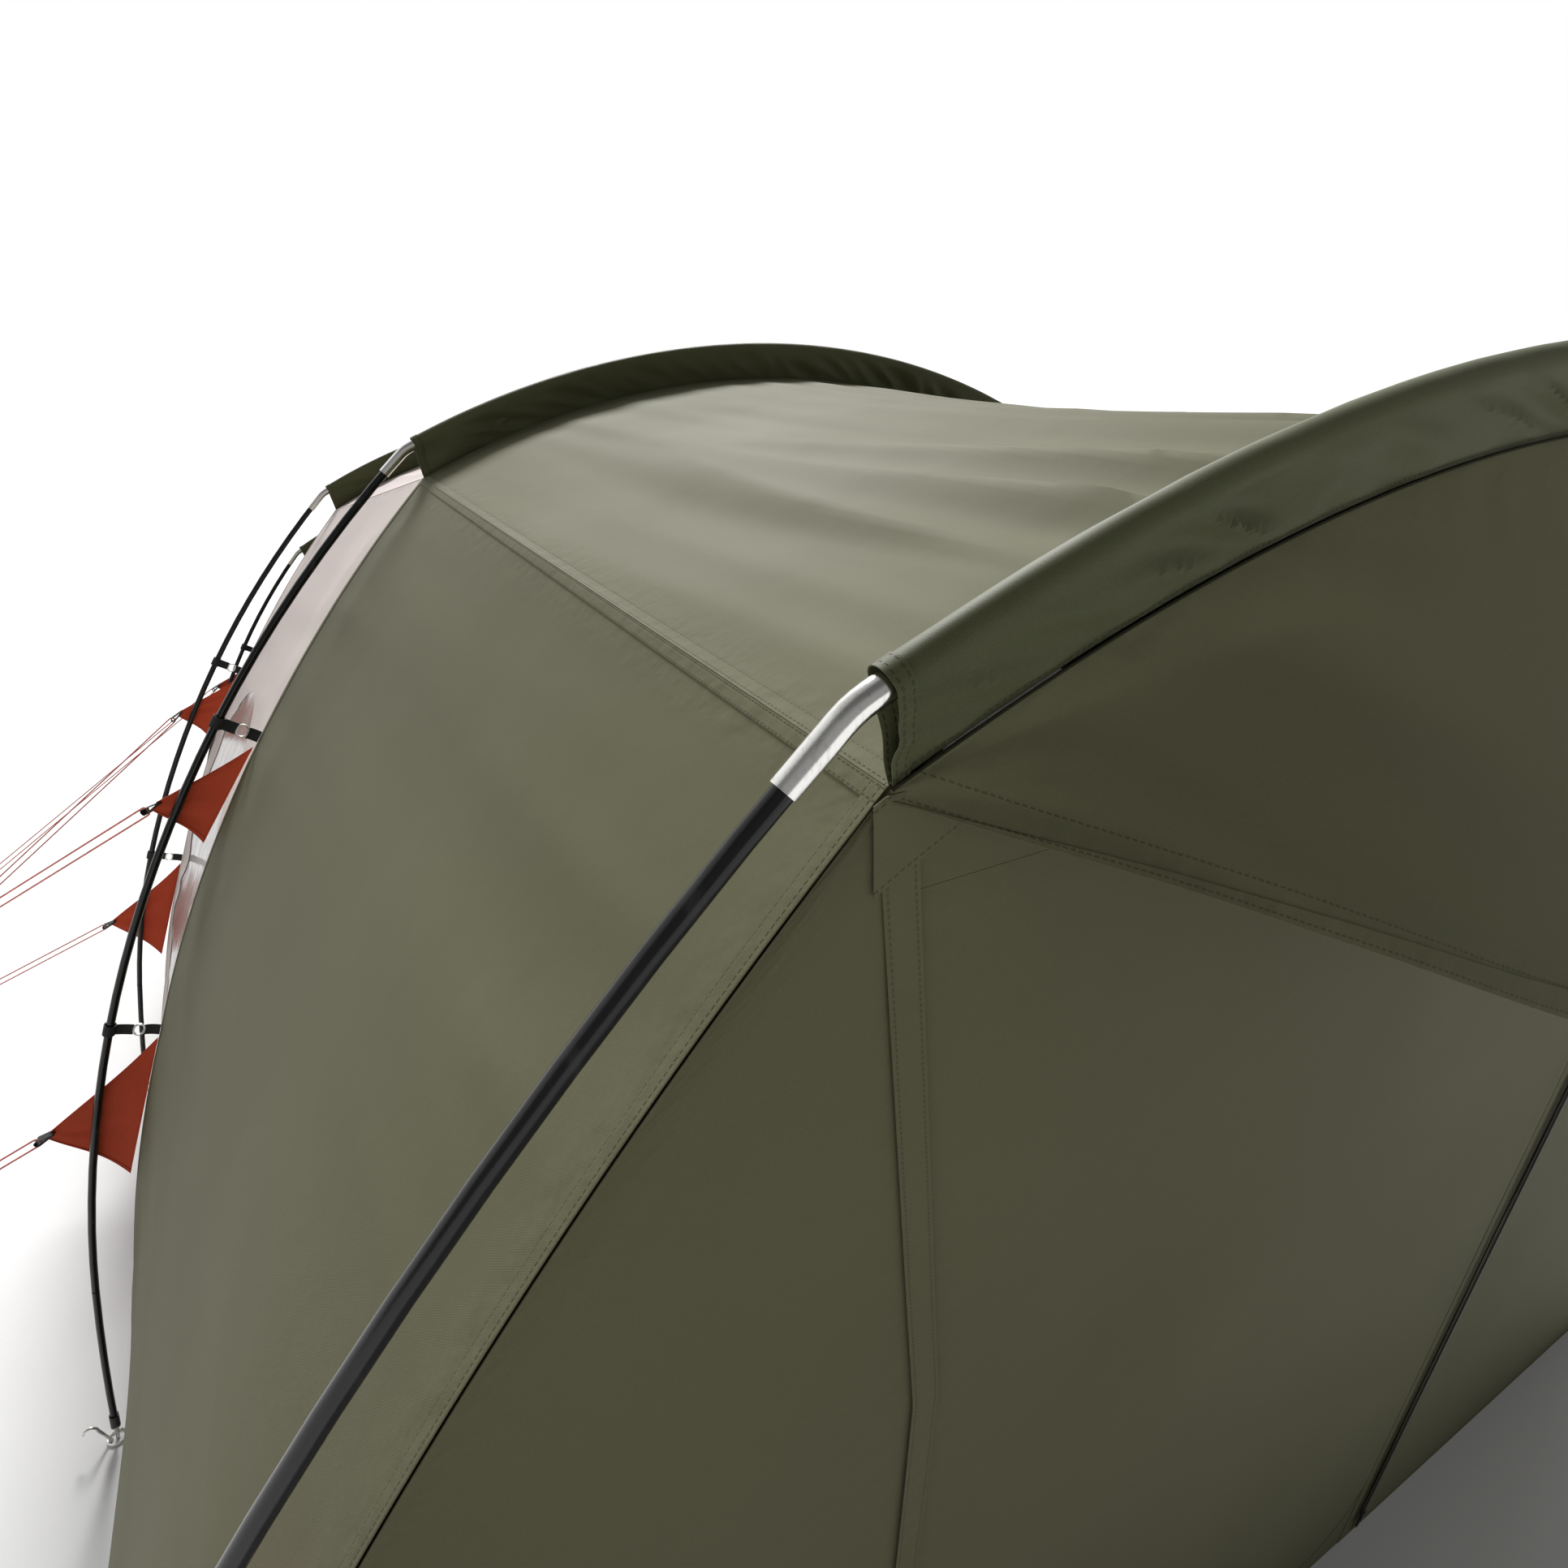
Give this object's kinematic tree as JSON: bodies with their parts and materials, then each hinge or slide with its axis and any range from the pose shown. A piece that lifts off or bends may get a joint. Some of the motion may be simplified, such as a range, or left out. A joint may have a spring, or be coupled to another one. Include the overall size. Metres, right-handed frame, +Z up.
{
  "type": "tunnel tent",
  "caption": "Pitched tunnel tent: sprung rod hoops with alloy elbows carry a sewn flysheet with hood, door, windows, rear vent, and doubled guy lines to pegs.",
  "frame": {"origin": "on the ground under the middle of the pitched tent with its pegs", "axes": "+X to the tent's right side seen from the front looking in, +Y from the door to the back, +Z up"},
  "size_m": [5.681, 4.5782, 2.0604],
  "materials": {
    "olive_fabric": "woven polyester with a matt coating",
    "dark_olive_fabric": "woven polyester sleeve",
    "pale_fabric": "woven polyester, pale warm grey",
    "window_film": "soft clear film with a printed mesh",
    "mesh": "black no-see-um mesh",
    "groundsheet": "laid polyethylene sheet",
    "black_rod": "fibreglass rod in a smooth black wrap",
    "alloy": "bright satin drawn tube",
    "steel": "plated steel",
    "black_webbing": "woven polypropylene webbing",
    "orange_fabric": "orange-red woven polyester",
    "guy_cord": "braided polyester cord",
    "black_plastic": "moulded nylon",
    "zip_tape": "zip tape"
  },
  "bodies": {
    "tent": {"hoop_1_crown_rods": "black_rod", "hoop_1_leg_rods": "black_rod", "hoop_1_sleeve": "dark_olive_fabric", "hoop_2_crown_rods": "black_rod", "hoop_2_leg_rods": "black_rod", "hoop_2_sleeve": "dark_olive_fabric", "hoop_3_crown_rods": "black_rod", "hoop_3_leg_rods": "black_rod", "hoop_3_sleeve": "dark_olive_fabric", "hoop_4_crown_rods": "black_rod", "hoop_4_leg_rods": "black_rod", "hoop_4_sleeve": "dark_olive_fabric", "shoulder_elbows": "alloy", "rod_ferrules": "steel", "foot_caps_with_pins": "black_plastic", "roof_front_panel": "olive_fabric", "left_wall_front_panel": "olive_fabric", "right_wall_front_panel": "olive_fabric", "roof_middle_panel": "pale_fabric", "left_wall_middle_panel": "pale_fabric", "right_wall_middle_panel": "pale_fabric", "roof_rear_panel": "olive_fabric", "left_wall_rear_panel": "olive_fabric", "right_wall_rear_panel": "olive_fabric", "side_windows": "window_film", "front_wall_left": "olive_fabric", "front_wall_right": "olive_fabric", "front_lintel_and_sill": "olive_fabric", "front_hood": "olive_fabric", "door_zip_track": "zip_tape", "rear_vent_mesh": "mesh", "rear_wall": "olive_fabric", "groundsheet": "groundsheet", "foot_rings": "steel", "foot_webbing": "black_webbing", "guy_line_left_hoop_1_upper": "guy_cord", "guy_line_right_hoop_1_upper": "guy_cord", "guy_line_left_hoop_2_upper": "guy_cord", "guy_line_right_hoop_2_upper": "guy_cord", "guy_line_left_hoop_2_lower": "guy_cord", "guy_line_right_hoop_2_lower": "guy_cord", "guy_line_left_hoop_3_upper": "guy_cord", "guy_line_right_hoop_3_upper": "guy_cord", "guy_line_left_hoop_3_lower": "guy_cord", "guy_line_right_hoop_3_lower": "guy_cord", "guy_line_left_hoop_4_upper": "guy_cord", "guy_line_right_hoop_4_upper": "guy_cord", "guy_runners": "black_plastic", "guy_triangles": "orange_fabric", "guy_loops": "black_webbing", "pole_straps": "black_webbing", "strap_rings": "steel", "wall_tabs": "black_webbing", "ground_pegs": "steel"},
    "front_door": {"front_door": "olive_fabric"},
    "zip_slider": {"door_zip_slider": "black_plastic"},
    "rear_vent_flap": {"rear_vent_flap": "olive_fabric"},
    "left_runner": {"guy_runner_left": "black_plastic"},
    "right_runner": {"guy_runner_right": "black_plastic"}
  },
  "joints": [
    {"name": "front_door_swing", "type": "hinge", "parent": "tent", "child": "front_door", "pos_m": [-0.57, -1.21, 0.9], "axis": [0, 0, 1], "range_deg": [0, 95]},
    {"name": "door_zip_travel", "type": "slide", "parent": "tent", "child": "zip_slider", "axis": [0, 0, 1], "range_m": [0, 1.45]},
    {"name": "rear_vent_swing", "type": "hinge", "parent": "tent", "child": "rear_vent_flap", "pos_m": [0, 2.275, 1.34], "axis": [1, 0, 0], "range_deg": [0, 60]},
    {"name": "left_runner_slide", "type": "slide", "parent": "tent", "child": "left_runner", "axis": [0.854, -0.2241, 0.4695], "range_m": [0, 0.35]},
    {"name": "right_runner_slide", "type": "slide", "parent": "tent", "child": "right_runner", "axis": [-0.854, -0.2241, 0.4695], "range_m": [0, 0.35]}
  ]
}
